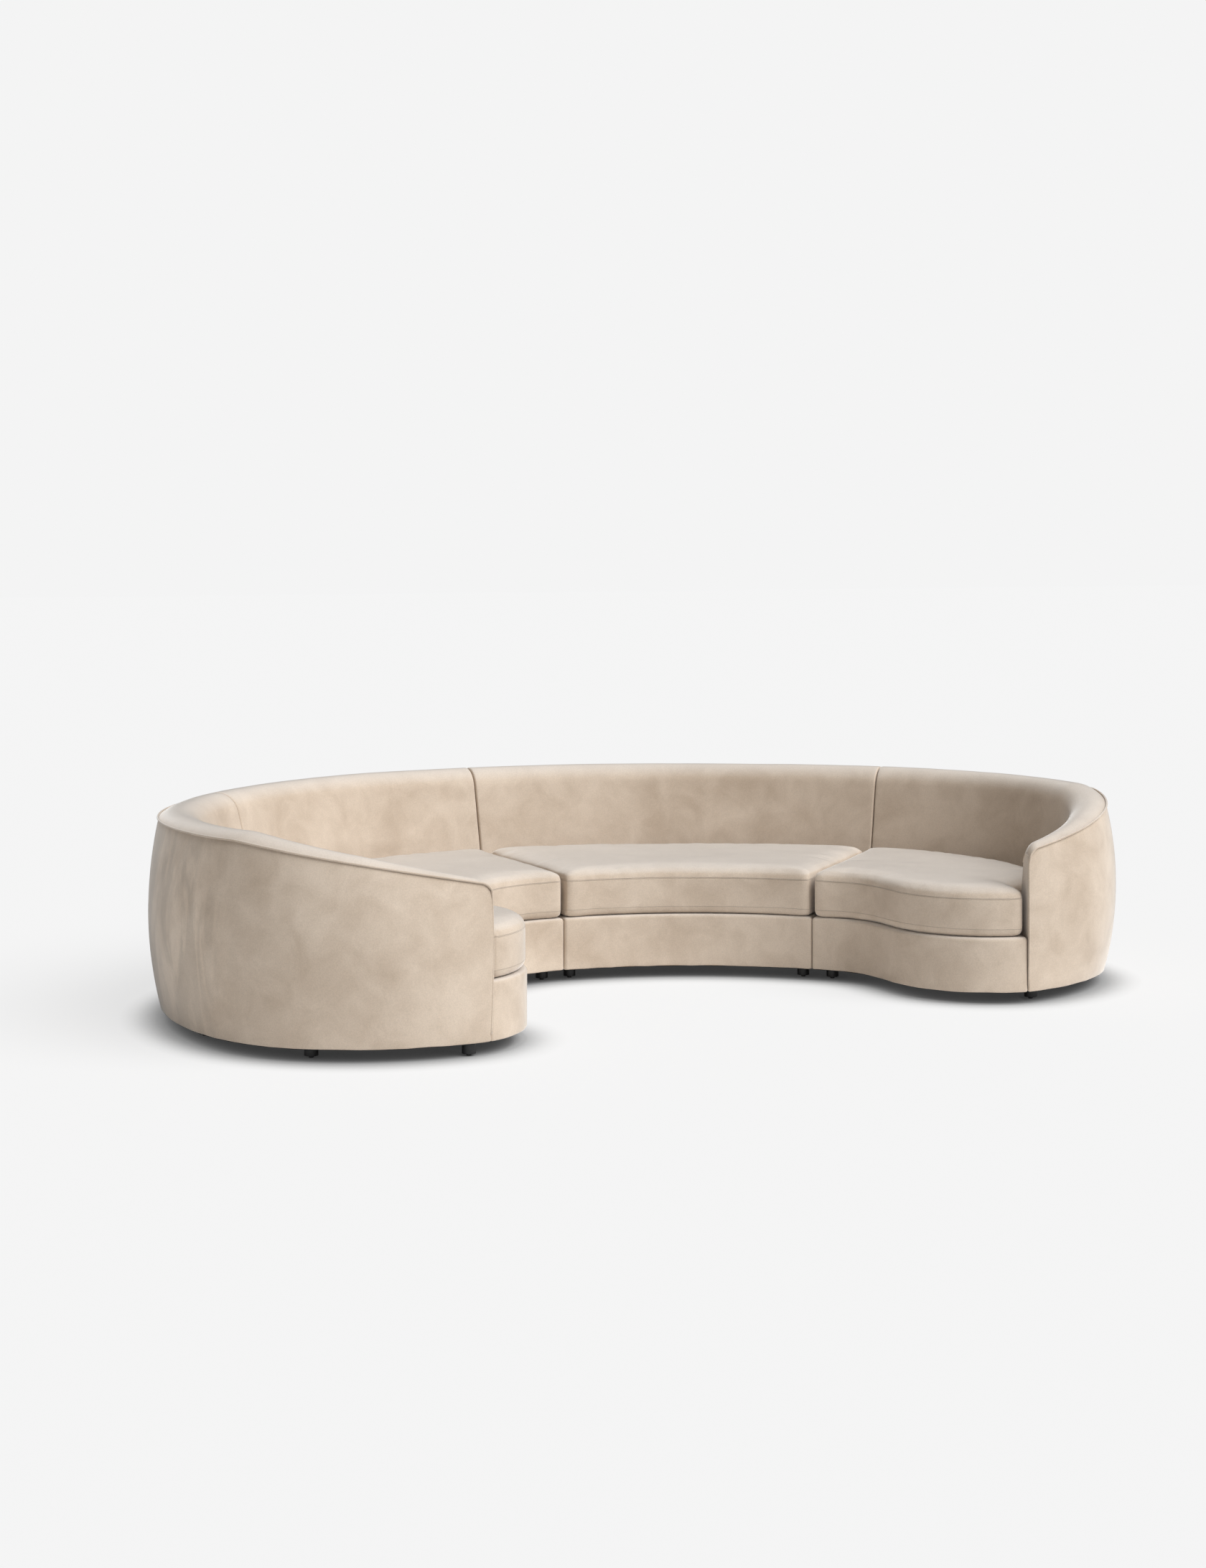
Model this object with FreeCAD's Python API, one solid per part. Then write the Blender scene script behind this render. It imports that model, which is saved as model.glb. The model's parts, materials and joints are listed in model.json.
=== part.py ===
import FreeCAD, Part
import math
import os

from FreeCAD import Vector

# A C-shaped modular sofa of four upholstered modules that clip together at three seams.
# Each module is built in a plan frame of its own: its first seam is the plane U = 0,
# U runs away from that seam and V runs from the seat front to the back.
# The two left-hand modules are mirror images. Every module is then turned to its seam.
# All sizes are in millimetres.

# Heights above the floor
base_bottom = 45.0
base_top = 250.0
back_top = 755.0
arm_top = 592.0
bulge_height = 390.0

# Plan sizes
module_depth = 1170.0
middle_angle = 45.0
middle_front_radius = 1270.0
curve_angle = 50.0
curve_front_radius = 600.0
left_lead_angle = 12.0
seam_gap = 2.0

# Cross-section of the back, measured inwards from its fullest line
back_depth = 310.0
arm_depth = 195.0
bottom_draw = 45.0
welt_draw = 38.0
welt_drop = 8.0
crown_flat = 100.0
crown_drop = 3.0
roll_depth = 185.0
roll_drop = 58.0
roll_end_depth = 235.0
roll_end_drop = 150.0

# Outline of the end module's back, as arcs of radius and turn
shoulder_radius = 1345.0
shoulder_turn = 43.0
corner_radius = 665.0
corner_turn = 47.0
arm_radius = 845.0
arm_turn = 41.0
arm_face_lean = 22.5
arm_climb = 1000.0
arm_climb_power = 1.2
station_pitch = 105.0
shortest_run = 0.01
wall_points = 36

# Front of the end module: straight, outward bend, straight, then the round lobe
front_straight = 60.0
front_bend_radius = 330.0
front_bend_turn = 38.0
front_slope = 120.0
front_corner_draw = 45.0

# Soft walls
cover_thickness = 3.0
back_foam_thickness = 45.0
foam_end_wall = 20.0
fit = 0.4
module_fit = 1.0
base_edge_radius = 14.0

# Seat cushions
cushion_thickness = 185.0
cushion_overhang = 15.0
cushion_side_gap = 2.0
cushion_rear_gap = 8.0
cushion_edge_radius = 34.0

# Welt cord sewn along the outer top edge of the back
welt_radius = 4.0
welt_fit = 0.7

# Timber frames
rail_thickness = 25.0
stretcher_width = 40.0
rib_thickness = 18.0
wedge_ribs = 4
end_ribs = 6
top_rail_width = 30.0
top_rail_height = 30.0
top_rail_drop = 50.0
sill_thickness = 20.0
foot_block_size = 90.0
foot_block_height = 40.0

# Springs and deck
spring_wire = 4.0
spring_pitch = 26.0
spring_half_width = 22.0
spring_spacing = 165.0
first_spring = 115.0
deck_pad_thickness = 30.0
dust_cover_thickness = 1.5

# Feet, glides and connectors
foot_radius = 24.0
foot_stud_radius = 4.0
foot_stud_length = 35.0
foot_seam_offset = 60.0
foot_front_offset = 93.0
foot_back_offset = 120.0
outer_feet_distances = (715.0, 1420.0)
outer_foot_offset = 142.0
right_arm_foot_along = 166.0
left_arm_foot_along = 110.0
arm_foot_inset = 39.0
glide_radius = 8.5
glide_height = 8.0
glide_nail_radius = 1.5
glide_nail_length = 14.0
connector_width = 60.0
connector_length = 45.0
connector_plate = 3.0
connector_blade_width = 36.0
connector_reach = 28.0
connector_wall = 6.0
connector_lip_gap = 8.0
connector_places = (330.0, 700.0)


def move(point, heading, distance):
    """Plan point at a distance from another, along a heading in degrees."""
    angle = math.radians(heading)
    return (point[0] + distance * math.cos(angle), point[1] + distance * math.sin(angle))


def raised(point, z=0.0):
    """Plan point as a vector at height z."""
    return Vector(point[0], point[1], z)


def line(first, second):
    return Part.LineSegment(first, second).toShape()


def arc(first, middle, last):
    return Part.Arc(first, middle, last).toShape()


def closed_face(edges):
    """Flat face inside a loop of edges that follow one another."""
    return Part.Face(Part.Wire(edges))


def cut_below(shape, z):
    """The part of a shape above the height z."""
    box = shape.BoundBox
    width = box.XMax - box.XMin + 2
    length = box.YMax - box.YMin + 2
    depth = z - box.ZMin + 1
    block = Part.makeBox(width, length, depth, Vector(box.XMin - 1, box.YMin - 1, z - depth))
    return shape.cut(block)


def walk(start, heading, steps, left=0.0):
    """Edges of tangent lines (turn 0) and arcs (radius, turn), moved to their left."""
    point = move(start, heading + 90, left)
    edges = []
    for size, turn in steps:
        if turn == 0:
            after = move(point, heading, size)
            edges.append(line(raised(point), raised(after)))
        else:
            side = math.copysign(1, turn)
            radius = size - side * left
            centre = move(point, heading + 90 * side, radius)
            middle = move(centre, heading - 90 * side + turn / 2, radius)
            after = move(centre, heading - 90 * side + turn, radius)
            edges.append(arc(raised(point), raised(middle), raised(after)))
            heading += turn
        point = after
    return edges, point, heading


def tangent_arc(start, heading, end):
    """Arc that leaves start along a heading and reaches end."""
    run = (end[0] - start[0], end[1] - start[1])
    chord = math.hypot(run[0], run[1])
    half_turn = math.degrees(math.atan2(run[1], run[0])) - heading
    rise = chord / 2 * math.tan(math.radians(half_turn) / 2)
    centre_of_chord = ((start[0] + end[0]) / 2, (start[1] + end[1]) / 2)
    middle = move(centre_of_chord, heading + half_turn - 90, rise)
    return arc(raised(start), raised(middle), raised(end))


def back_section(station, inset=0.0):
    """Closed wire of the back's cross-section at a station, drawn in by an inset."""
    outer, inward, top, depth = station
    share = depth / back_depth
    low = base_bottom - foot_block_height

    def at(draw, height, draw_push, height_push):
        point = move(outer, inward, draw + inset * draw_push)
        return raised(point, height + inset * height_push)

    welt_point = at(welt_draw, top - welt_drop, 0.6, -1)
    flat_end = at(crown_flat * share, top - crown_drop * share, 0.2, -1)
    crown = at((welt_draw + crown_flat * share) / 2, top, 0.4, -1)
    roll = at(roll_depth * share, top - roll_drop * share, -0.7, -0.7)
    roll_end = at(roll_end_depth * share, top - roll_end_drop * share, -0.95, -0.3)
    tuck = at(depth, base_top, -1, 0)
    foot_in = at(depth, low, -1, 0)
    foot_out = at(bottom_draw, low, 1, 0)
    hem = at(bottom_draw, base_bottom, 1, 0)
    bulge = at(0, bulge_height, 1, 0)
    return Part.Wire([
        line(foot_out, hem),
        arc(hem, bulge, welt_point),
        arc(welt_point, crown, flat_end),
        arc(flat_end, roll, roll_end),
        line(roll_end, tuck),
        line(tuck, foot_in),
        line(foot_in, foot_out),
    ])


def strip_section(station, near, far, low, high):
    """Rectangle across the back, between two draws and two heights."""
    outer, inward, _, _ = station
    corners = []
    for draw, height in ((near, low), (far, low), (far, high), (near, high)):
        corners.append(raised(move(outer, inward, draw), height))
    return Part.makePolygon(corners + corners[:1])


class Wedge:
    """Armless module: a ring slice about a centre in front of the seat."""

    def __init__(self, front_radius, angle):
        self.front_radius = front_radius
        self.angle = angle
        self.centre = (0.0, -front_radius)

    def trim_angle(self, trim):
        return math.degrees((trim + seam_gap / 2) / self.front_radius)

    def station(self, turn):
        outer = move(self.centre, 90 - turn, self.front_radius + module_depth)
        return (outer, 270 - turn, back_top, back_depth)

    def sweep(self, section, trim):
        start = self.trim_angle(trim)
        face = Part.Face(section(self.station(start)))
        turn = -(self.angle - 2 * start)
        return face.revolve(raised(self.centre), Vector(0, 0, 1), turn)

    def seat_face(self, front, side, rear):
        start = self.trim_angle(side)
        stop = self.angle - start
        near = self.front_radius + front
        far = self.front_radius + module_depth - back_depth - module_fit - rear
        middle = self.angle / 2
        points = []
        for turn, radius in ((start, near), (middle, near), (stop, near),
                             (stop, far), (middle, far), (start, far)):
            points.append(raised(move(self.centre, 90 - turn, radius)))
        return closed_face([
            arc(points[0], points[1], points[2]),
            line(points[2], points[3]),
            arc(points[3], points[4], points[5]),
            line(points[5], points[0]),
        ])

    def rib_stations(self):
        trim = self.trim_angle(cover_thickness + foam_end_wall + rib_thickness)
        run = self.angle - 2 * trim
        return [self.station(trim + run * i / (wedge_ribs - 1)) for i in range(wedge_ribs)]

    def spring_lines(self):
        reach = self.front_radius + module_depth
        middle_arc = math.radians(self.angle) * (self.front_radius + module_depth / 3)
        count = int(middle_arc / spring_spacing)
        lines = []
        for i in range(count):
            turn = self.angle * (i + 0.5) / count
            lines.append((self.centre, 90 - turn, reach))
        return lines

    def stretcher_lines(self):
        reach = self.front_radius + module_depth
        return [(self.centre, 90 - self.angle * share, reach) for share in (1 / 3, 2 / 3)]

    def feet_at(self, depth):
        radius = self.front_radius + depth
        turn = math.degrees(foot_seam_offset / radius)
        return [move(self.centre, 90 - turn, radius), move(self.centre, 90 - self.angle + turn, radius)]

    def seat_feet(self):
        return self.feet_at(foot_front_offset)

    def back_feet(self):
        return self.feet_at(module_depth - foot_back_offset)


class End:
    """Arm module: the back bends round and slopes down into a low arm.

    It can lead in with a ring slice that carries on the curve of the module beside it.
    """

    def __init__(self, arm_foot_along, lead_radius=0.0, lead_angle=0.0):
        self.arm_foot_along = arm_foot_along
        self.lead_radius = lead_radius
        self.lead_angle = lead_angle
        self.start = (seam_gap / 2, module_depth)
        self.outline = (
            (lead_radius + module_depth, -lead_angle),
            (shoulder_radius, -shoulder_turn),
            (corner_radius, -corner_turn),
            (arm_radius, -arm_turn),
        )
        self.length = sum(radius * math.radians(-turn) for radius, turn in self.outline)

    def station(self, distance):
        """Station at a distance along the outline from the seam."""
        steps = []
        left = distance
        for radius, turn in self.outline:
            whole = radius * math.radians(-turn)
            run = min(left, whole)
            if run > shortest_run:
                steps.append((radius, turn * run / whole))
            left -= run
        point = self.start
        heading = 0.0
        if steps:
            _, point, heading = walk(self.start, 0.0, steps)
        lean = arm_face_lean * max(0.0, 1 - (self.length - distance) / (arm_climb / 2))
        level = max(0.0, 1 - (self.length - distance) / arm_climb) ** arm_climb_power
        top = back_top - (back_top - arm_top) * level
        depth = back_depth - (back_depth - arm_depth) * level
        return (point, heading - 90 - lean, top, depth)

    def stations(self, trim):
        run = self.length - 2 * trim
        count = round(run / station_pitch)
        return [self.station(trim + run * i / count) for i in range(count + 1)]

    def sweep(self, section, trim):
        return Part.makeLoft([section(place) for place in self.stations(trim)], True, False)

    def arm_face(self):
        """Outer corner of the arm's end face, the way along it and the way it faces."""
        corner, along, _, depth = self.station(self.length)
        return corner, along, along + 90, depth

    def inner_wall(self, clear):
        """Plan points along the back's inner face, from the arm to the seam, with a clearance."""
        places = self.stations(0.0)
        wall = Part.makeLoft([back_section(place, -clear) for place in places], False, False)
        ends = []
        for outer, inward, _, across in (places[0], places[-1]):
            ends.append(raised(move(outer, inward, across + clear), base_top))
        for edge in wall.Edges:
            tips = [edge.Vertexes[0].Point, edge.Vertexes[-1].Point]
            if all(min((tip - end).Length for tip in tips) < fit for end in ends):
                points = [Vector(point.x, point.y, 0) for point in edge.discretize(wall_points)]
                return sorted(points, key=lambda point: (point - ends[0]).Length, reverse=True)

    def seat_face(self, front, side, rear):
        corner, along, facing, depth = self.arm_face()
        clear = module_fit + rear
        front_end = move(move(corner, along, front_corner_draw + front), facing, clear)
        inner_end = move(move(corner, along, depth + clear), facing, clear)
        seam_side = seam_gap / 2 + side
        if self.lead_angle > 0:
            turned = math.degrees(math.asin(side / (self.lead_radius + front)))
            start = move((seam_gap / 2, -self.lead_radius), 90 - turned, self.lead_radius)
            steps = [(self.lead_radius, turned - self.lead_angle), (front_straight, 0)]
        else:
            turned = 0.0
            start = (seam_side, 0.0)
            steps = [(front_straight - side, 0)]
        steps += [(front_bend_radius, -front_bend_turn), (front_slope, 0)]
        edges, point, heading = walk(start, -turned, steps, front)
        edges.append(tangent_arc(point, heading, front_end))
        edges.append(line(raised(front_end), raised(inner_end)))
        rear_points = [raised(inner_end)]
        for point in self.inner_wall(clear)[1:]:
            if point.x > seam_side + clear:
                rear_points.append(point)
        seam_end = Vector(seam_side, module_depth - back_depth - clear, 0)
        rear_points.append(seam_end)
        rear_curve = Part.BSplineCurve()
        rear_curve.interpolate(rear_points)
        edges.append(rear_curve.toShape())
        edges.append(line(seam_end, raised(move(start, 90 - turned, front))))
        return closed_face(edges)

    def rib_stations(self):
        trim = cover_thickness + foam_end_wall + rib_thickness
        run = self.length - 2 * trim
        return [self.station(trim + run * i / (end_ribs - 1)) for i in range(end_ribs)]

    def spring_lines(self):
        corner = self.arm_face()[0]
        count = int(corner[0] / spring_spacing)
        places = [first_spring + spring_spacing * i for i in range(count)]
        return [((place, -module_depth), 90, 2 * module_depth) for place in places]

    def stretcher_lines(self):
        corner = self.arm_face()[0]
        return [((corner[0] * share, -module_depth), 90, 2 * module_depth) for share in (1 / 3, 2 / 3)]

    def seat_feet(self):
        return [(foot_seam_offset, foot_front_offset)]

    def back_feet(self):
        corner, along, facing, _ = self.arm_face()
        places = [
            (foot_seam_offset, module_depth - foot_back_offset),
            move(move(corner, along, self.arm_foot_along), facing, -arm_foot_inset),
        ]
        for distance in outer_feet_distances:
            outer, inward, _, _ = self.station(self.length - distance)
            places.append(move(outer, inward, outer_foot_offset))
        return places


def is_corner(edge, solid):
    """True where the two walls beside an upright edge meet at an angle."""
    walls = solid.ancestorsOfType(edge, Part.Face)
    point = edge.CenterOfMass
    normals = [wall.normalAt(*wall.Surface.parameter(point)) for wall in walls]
    return normals[0].getAngle(normals[1]) > math.radians(30)


def seat_block(module, insets, low, high, radius, level=()):
    """Block over the seat plan, drawn in at front, side and rear.

    Its upright corners are rounded, and so are its level edges at the heights in level.
    """
    face = module.seat_face(*insets)
    face.translate(Vector(0, 0, low))
    solid = face.extrude(Vector(0, 0, high - low))
    edges = []
    for edge in solid.Edges:
        box = edge.BoundBox
        upright = box.DiagonalLength < high - low + fit and box.ZLength > high - low - fit
        if upright and is_corner(edge, solid):
            edges.append(edge)
        elif box.ZLength < fit and any(abs(box.ZMin - height) < fit for height in level):
            edges.append(edge)
    return solid.makeFillet(radius, edges)


def base_block(module, inset, low, high, level=()):
    """Block over the base, drawn in all round by an inset."""
    radius = max(base_edge_radius - inset, fit)
    return seat_block(module, (inset, inset, inset), low, high, radius, level)


def back_cover(module):
    outer = module.sweep(lambda place: back_section(place), 0.0)
    inner = module.sweep(lambda place: back_section(place, cover_thickness), cover_thickness)
    return cut_below(outer.cut(inner), base_bottom)


def back_foam(module):
    skin = cover_thickness + fit
    deep = skin + back_foam_thickness
    outer = module.sweep(lambda place: back_section(place, skin), skin)
    inner = module.sweep(lambda place: back_section(place, deep), skin + foam_end_wall)
    foam = cut_below(outer.cut(inner), base_bottom + dust_cover_thickness + fit)
    return foam.cut(foot_blocks(module, fit))


def back_frame(module):
    """Ribs on a sill with a top rail, shaped to the inside of the foam."""
    inset = cover_thickness + back_foam_thickness + 2 * fit
    trim = cover_thickness + foam_end_wall + 3 * fit
    sill_low = base_bottom + dust_cover_thickness + fit
    core = module.sweep(lambda place: back_section(place, inset), trim)

    def rail_section(place):
        rail_near = inset + top_rail_width / 2
        rail_high = place[2] - inset - top_rail_drop
        return strip_section(place, rail_near, rail_near + top_rail_width,
                             rail_high - top_rail_height, rail_high)

    box = core.BoundBox
    boards = [Part.makeBox(box.XLength, box.YLength, sill_thickness, Vector(box.XMin, box.YMin, sill_low))]
    for outer, inward, _, _ in module.rib_stations():
        start = move(outer, inward, -back_depth)
        boards.append(beam(start, inward, 3 * back_depth, rib_thickness, sill_low, back_top))
    pieces = [core.common(board) for board in boards]
    pieces.append(module.sweep(rail_section, trim))
    pieces.append(foot_blocks(module))
    frame = pieces[0].multiFuse(pieces[1:])
    return frame.cut(foot_studs(module, fit))


def foot_blocks(module, spare=0.0):
    """Round blocks on the back's sill that take the studs, or with spare their holes."""
    low = base_bottom + dust_cover_thickness + fit - spare
    blocks = []
    for place in module.back_feet():
        height = foot_block_height + 2 * spare
        blocks.append(Part.makeCylinder(foot_radius + spare, height, raised(place, low)))
    return Part.makeCompound(blocks)


def welt(module):
    def cord(place):
        outer, inward, top, _ = place
        clear = (welt_radius + welt_fit) / math.sqrt(2)
        centre = raised(move(outer, inward, welt_draw - clear), top - welt_drop + clear)
        normal = raised(move((0.0, 0.0), inward - 90, 1.0))
        return Part.Wire([Part.Circle(centre, normal, welt_radius).toShape()])

    return module.sweep(cord, 0.0)


def base_cover(module):
    outer = base_block(module, 0.0, base_bottom, base_top, [base_top])
    lower = base_block(module, cover_thickness, base_bottom - 1, base_top - base_edge_radius)
    upper = base_block(module, deck_inset() - fit, base_bottom - 1, base_top - cover_thickness)
    return outer.cut(lower).cut(upper)


def deck_inset():
    """How far the deck pad stays inside the cover's rounded top edge."""
    return cover_thickness + base_edge_radius / 2 + fit


def base_frame(module):
    skin = cover_thickness + fit
    deep = skin + rail_thickness
    low = base_bottom + dust_cover_thickness + fit
    high = rail_top()
    block = base_block(module, skin, low, high)
    hollow = base_block(module, deep, low - 1, high + 1)
    pieces = []
    for start, heading, reach in module.stretcher_lines():
        pieces.append(beam(start, heading, reach, stretcher_width, low, high - spring_wire))
    for foot in module.seat_feet():
        corner = Vector(foot[0] - foot_block_size / 2, foot[1] - foot_block_size / 2, low)
        pieces.append(Part.makeBox(foot_block_size, foot_block_size, foot_block_height, corner))
    inside = block.common(pieces[0].multiFuse(pieces[1:]))
    frame = block.cut(hollow).multiFuse([inside])
    return frame.cut(foot_studs(module, fit))


def rail_top():
    return base_top - cover_thickness - fit - deck_pad_thickness - fit - spring_wire - fit


def beam(start, heading, reach, width, low, high):
    """Upright board along a plan line."""
    one = move(start, heading + 90, width / 2)
    other = move(start, heading - 90, width / 2)
    ends = [one, other, move(other, heading, reach), move(one, heading, reach)]
    outline = Part.makePolygon([raised(point, low) for point in ends + ends[:1]])
    return Part.Face(outline).extrude(Vector(0, 0, high - low))


def zigzag(start, heading, length):
    """Flat sinuous spring from a start point over a length."""
    turns = max(2, round(length / spring_pitch))
    radius = length / turns / 2
    bar = 2 * spring_half_width
    steps = [(spring_half_width, 0)]
    side = -1
    for index in range(turns):
        steps.append((radius, 180 * side))
        last = index == turns - 1
        steps.append((spring_half_width if last else bar, 0))
        side = -side
    half = spring_wire / 2
    first, first_end, _ = walk(start, heading + 90, steps, half)
    second, second_end, _ = walk(start, heading + 90, steps, -half)
    first_start = move(start, heading + 180, half)
    second_start = move(start, heading, half)
    joins = [line(raised(first_end), raised(second_end)),
             line(raised(second_start), raised(first_start))]
    return Part.Face(Part.Wire(Part.__sortEdges__(first + second + joins)))


def seat_springs(module):
    """Springs that run from the front rail to the rear rail and rest on both."""
    inset = cover_thickness + 2 * fit
    face = module.seat_face(inset, inset, inset)
    reach_aside = spring_half_width + spring_pitch / 2 + spring_wire
    solids = []
    for start, heading, reach in module.spring_lines():
        firsts = []
        lasts = []
        for side in (-1, 0, 1):
            near = move(start, heading + 90, side * reach_aside)
            inside = face.common(line(raised(near), raised(move(near, heading, reach))))
            distances = [(vertex.Point - raised(near)).Length for vertex in inside.Vertexes]
            firsts.append(min(distances))
            lasts.append(max(distances))
        first = max(firsts) + spring_wire
        length = min(lasts) - spring_wire - first
        spring = zigzag(move(start, heading, first), heading, length)
        spring.translate(Vector(0, 0, rail_top() + fit))
        solids.append(spring.extrude(Vector(0, 0, spring_wire)))
    return Part.makeCompound(solids)


def deck_pad(module):
    inset = deck_inset()
    top = base_top - cover_thickness - fit
    return base_block(module, inset, top - deck_pad_thickness, top)


def dust_cover(module):
    skin = cover_thickness + fit
    high = base_bottom + dust_cover_thickness
    seat_sheet = base_block(module, skin, base_bottom, high)

    def sheet_section(place):
        return strip_section(place, bottom_draw + skin, place[3] - skin, base_bottom, high)

    back_sheet = module.sweep(sheet_section, skin)
    sheets = Part.makeCompound([seat_sheet, back_sheet])
    return sheets.cut(foot_studs(module, fit))


def foot_studs(module, spare=0.0):
    """Threaded studs of the feet, or with spare the holes that they pass through."""
    length = foot_stud_length + spare
    studs = []
    for place in module.seat_feet() + module.back_feet():
        base = raised(place, base_bottom - 1)
        studs.append(Part.makeCylinder(foot_stud_radius + spare, length + 1, base))
    return Part.makeCompound(studs)


def feet(module):
    solids = []
    for place in module.seat_feet() + module.back_feet():
        top = base_bottom - fit
        leg = Part.makeCylinder(foot_radius, top - glide_height, raised(place, glide_height))
        stud = Part.makeCylinder(foot_stud_radius, foot_stud_length, raised(place, top - 1))
        nail_hole = Part.makeCylinder(glide_nail_radius + fit / 2, glide_nail_length + fit,
                                      raised(place, glide_height))
        solids.append(leg.fuse(stud).cut(nail_hole))
    return Part.makeCompound(solids)


def glides(module):
    solids = []
    for place in module.seat_feet() + module.back_feet():
        disc = Part.makeCylinder(glide_radius, glide_height, raised(place, 0))
        disc = disc.makeFillet(glide_height / 4, [disc.Edges[0], disc.Edges[2]])
        nail = Part.makeCylinder(glide_nail_radius, glide_nail_length, raised(place, glide_height))
        solids.append(disc.fuse(nail))
    return Part.makeCompound(solids)


def cushion_body(module, inset):
    """Boxed cushion with rounded corners and edges, drawn in all round by an inset."""
    low = base_top + fit + inset
    high = base_top + fit + cushion_thickness - inset
    insets = (inset - cushion_overhang, inset + cushion_side_gap, inset + cushion_rear_gap)
    return seat_block(module, insets, low, high, cushion_edge_radius - inset, [low, high])


def cushion_cover(module):
    return cushion_body(module, 0.0).cut(cushion_body(module, cover_thickness))


def cushion_core(module):
    return cushion_body(module, cover_thickness + fit)


def connector_tongues():
    """Plates under one module that reach over the seam, in the seam's own frame."""
    solids = []
    top = base_bottom - fit
    for place in connector_places:
        plate = Part.makeBox(connector_length, connector_width, connector_plate,
                             Vector(-connector_length - seam_gap, place, top - connector_plate))
        reach = connector_reach + connector_length / 2
        drop = connector_plate + fit
        side = place + (connector_width - connector_blade_width) / 2
        blade = Part.makeBox(reach, connector_blade_width, drop,
                             Vector(-connector_length / 2, side, top - connector_plate - drop))
        solids.append(plate.fuse(blade))
    return Part.makeCompound(solids)


def connector_jaws():
    """Channels under the other module that take the tongues."""
    solids = []
    top = base_bottom - fit
    for place in connector_places:
        start = seam_gap + module_fit
        plate = Part.makeBox(connector_length, connector_width, connector_plate - fit / 2,
                             Vector(start, place, top - connector_plate + fit / 2))
        wall_top = top - connector_plate + fit / 2
        wall_low = wall_top - connector_lip_gap
        channel = [Part.makeBox(connector_length, connector_width, connector_plate,
                                Vector(start, place, wall_low - connector_plate))]
        for side in (place, place + connector_width - connector_wall):
            channel.append(Part.makeBox(connector_length, connector_wall, connector_lip_gap,
                                        Vector(start, side, wall_low)))
        solids.append(plate.multiFuse(channel))
    return Part.makeCompound(solids)


def placed(shape, mirrored, origin, turn):
    """Shape from a module's own frame, put at its seam."""
    if mirrored:
        shape = shape.mirror(Vector(0, 0, 0), Vector(1, 0, 0))
    shape = shape.copy()
    shape.rotate(Vector(0, 0, 0), Vector(0, 0, 1), turn)
    shape.translate(raised(origin))
    return shape


PIECES = {
    "back_cover": back_cover,
    "back_foam": back_foam,
    "back_frame": back_frame,
    "welt": welt,
    "base_cover": base_cover,
    "base_frame": base_frame,
    "springs": seat_springs,
    "deck_pad": deck_pad,
    "dust_cover": dust_cover,
    "feet": feet,
    "glides": glides,
    "cushion_cover": cushion_cover,
    "cushion_core": cushion_core,
}


def seam_points():
    """Front corner and turn of each seam in the sofa's plan."""
    middle_centre = (0.0, -middle_front_radius)
    curve_centre = (0.0, -curve_front_radius)
    right = move(middle_centre, 90 - middle_angle, middle_front_radius)
    left = move(curve_centre, 90 + curve_angle, curve_front_radius)
    return right, left


def build():
    right_seam, left_seam = seam_points()
    middle = Wedge(middle_front_radius, middle_angle)
    curve = Wedge(curve_front_radius, curve_angle)
    right_arm = End(right_arm_foot_along)
    left_arm = End(left_arm_foot_along, curve_front_radius, left_lead_angle)
    layout = (
        ("middle", middle, False, (0.0, 0.0), 0.0),
        ("right_end", right_arm, False, right_seam, -middle_angle),
        ("left_curve", curve, True, (0.0, 0.0), 0.0),
        ("left_end", left_arm, True, left_seam, curve_angle),
    )
    shapes = {}
    for name, module, mirrored, origin, turn in layout:
        for piece, make in PIECES.items():
            shapes[name + "_" + piece] = placed(make(module), mirrored, origin, turn)
    seams = (
        ("right_seam", False, right_seam, -middle_angle),
        ("middle_seam", True, (0.0, 0.0), 0.0),
        ("left_seam", True, left_seam, curve_angle),
    )
    for name, mirrored, origin, turn in seams:
        shapes[name + "_tongues"] = placed(connector_tongues(), mirrored, origin, turn)
        shapes[name + "_jaws"] = placed(connector_jaws(), mirrored, origin, turn)
    return shapes


def main():
    os.makedirs("parts", exist_ok=True)
    shapes = build()
    covers = [shape for name, shape in shapes.items() if name.endswith("cover")]
    whole = Part.makeCompound(covers).optimalBoundingBox(False, False)
    to_centre = Vector(-(whole.XMin + whole.XMax) / 2, -(whole.YMin + whole.YMax) / 2, 0)
    for name, shape in shapes.items():
        shape.translate(to_centre)
        shape.exportStep("parts/" + name + ".step")
        print(name, len(shape.Solids), round(shape.Volume / 1e6, 2), shape.isValid())
    print("origin moved by", to_centre)


main()
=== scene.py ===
import json
import math

import bmesh
import bpy
import numpy as np
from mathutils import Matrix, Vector, noise


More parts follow.
